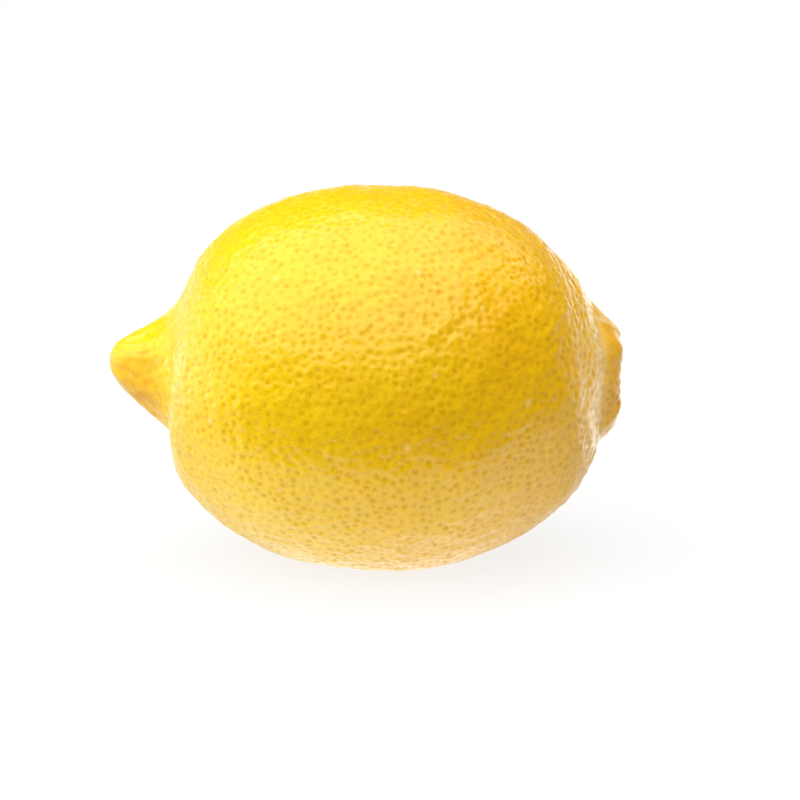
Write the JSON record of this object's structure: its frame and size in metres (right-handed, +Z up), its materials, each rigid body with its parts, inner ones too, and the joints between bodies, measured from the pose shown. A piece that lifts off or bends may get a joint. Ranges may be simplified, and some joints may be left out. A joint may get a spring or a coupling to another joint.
{
  "type": "lemon",
  "caption": "Whole ripe yellow lemon lying on its side, with a blunt nipple at one end and a folded collar with a woody stem button at the other.",
  "frame": {"origin": "on the surface the lemon rests on, under the middle of its bounding box", "axes": "+X along the long axis towards the stem end, with the nipple at -X, +Z up from the resting surface, +Y away from the front"},
  "size_m": [0.082, 0.0624, 0.0608],
  "materials": {
    "rind": "satin",
    "stem_wood": "matte"
  },
  "bodies": {
    "root": {"fruit": "rind", "stem_button": "stem_wood"}
  },
  "joints": []
}
